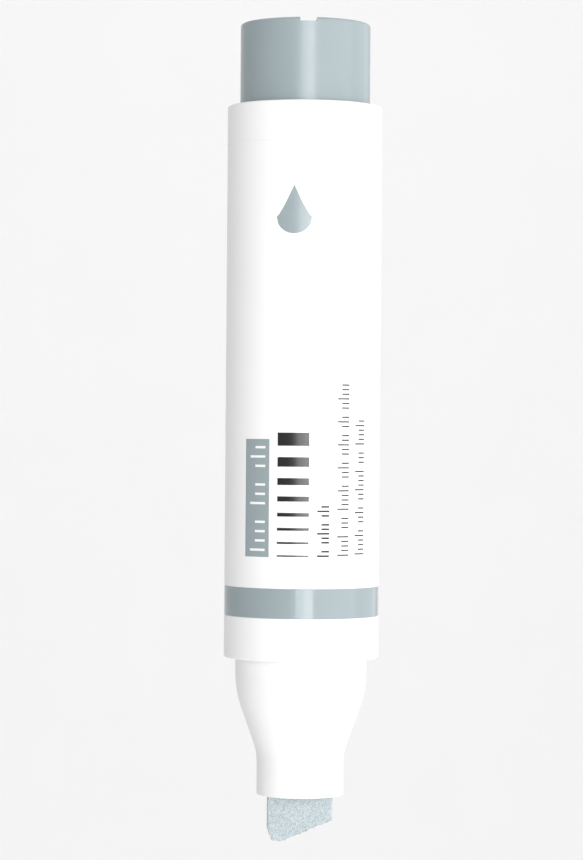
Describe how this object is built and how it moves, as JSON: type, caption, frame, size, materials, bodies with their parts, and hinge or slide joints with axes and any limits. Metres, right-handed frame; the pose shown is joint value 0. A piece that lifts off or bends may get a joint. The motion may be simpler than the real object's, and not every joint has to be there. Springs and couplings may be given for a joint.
{
  "type": "felt tip marker",
  "caption": "Refillable felt tip marker with a broad chisel nib, a round barrel, a stepped neck and a screw-in tail plug; the nib pulls out.",
  "frame": {"origin": "on the marker's axis, at the middle of the barrel's length, where a holder would grip it", "axes": "+Z along the axis from the nib to the tail, +X across the nib's broad face towards the high end of its writing edge"},
  "size_m": [0.024, 0.024, 0.1266],
  "materials": {
    "white_plastic": "satin moulded polypropylene",
    "grey_plastic": "satin moulded polypropylene",
    "seal_rubber": "matt nitrile rubber",
    "holder_plastic": "natural moulded plastic",
    "nib_felt": "pressed felt filled with light grey ink",
    "reservoir_fibre": "bonded fibre filled with light grey ink",
    "film": "thin wrapping film"
  },
  "bodies": {
    "body": {"barrel": "white_plastic", "rear_collar": "white_plastic", "front_section": "white_plastic", "accent_ring": "grey_plastic", "nib_holder": "holder_plastic", "reservoir_core": "reservoir_fibre", "reservoir_film": "film"},
    "seal": {"plug_seal": "seal_rubber"},
    "plug": {"tail_plug": "grey_plastic"},
    "nib": {"nib": "nib_felt"}
  },
  "joints": [
    {"name": "plug_lift", "type": "slide", "parent": "body", "child": "seal", "axis": [0, 0, 1], "range_m": [0, 0.0105]},
    {"name": "plug_turn", "type": "hinge", "parent": "seal", "child": "plug", "pos_m": [0, 0, 0.04], "axis": [0, 0, 1], "range_deg": [0, 1260]},
    {"name": "nib_pull", "type": "slide", "parent": "body", "child": "nib", "axis": [0, 0, -1], "range_m": [0, 0.036]}
  ],
  "couplings": [
    {"joint": "plug_lift", "follows": "plug_turn", "m_per_rad": 0.00047746}
  ]
}
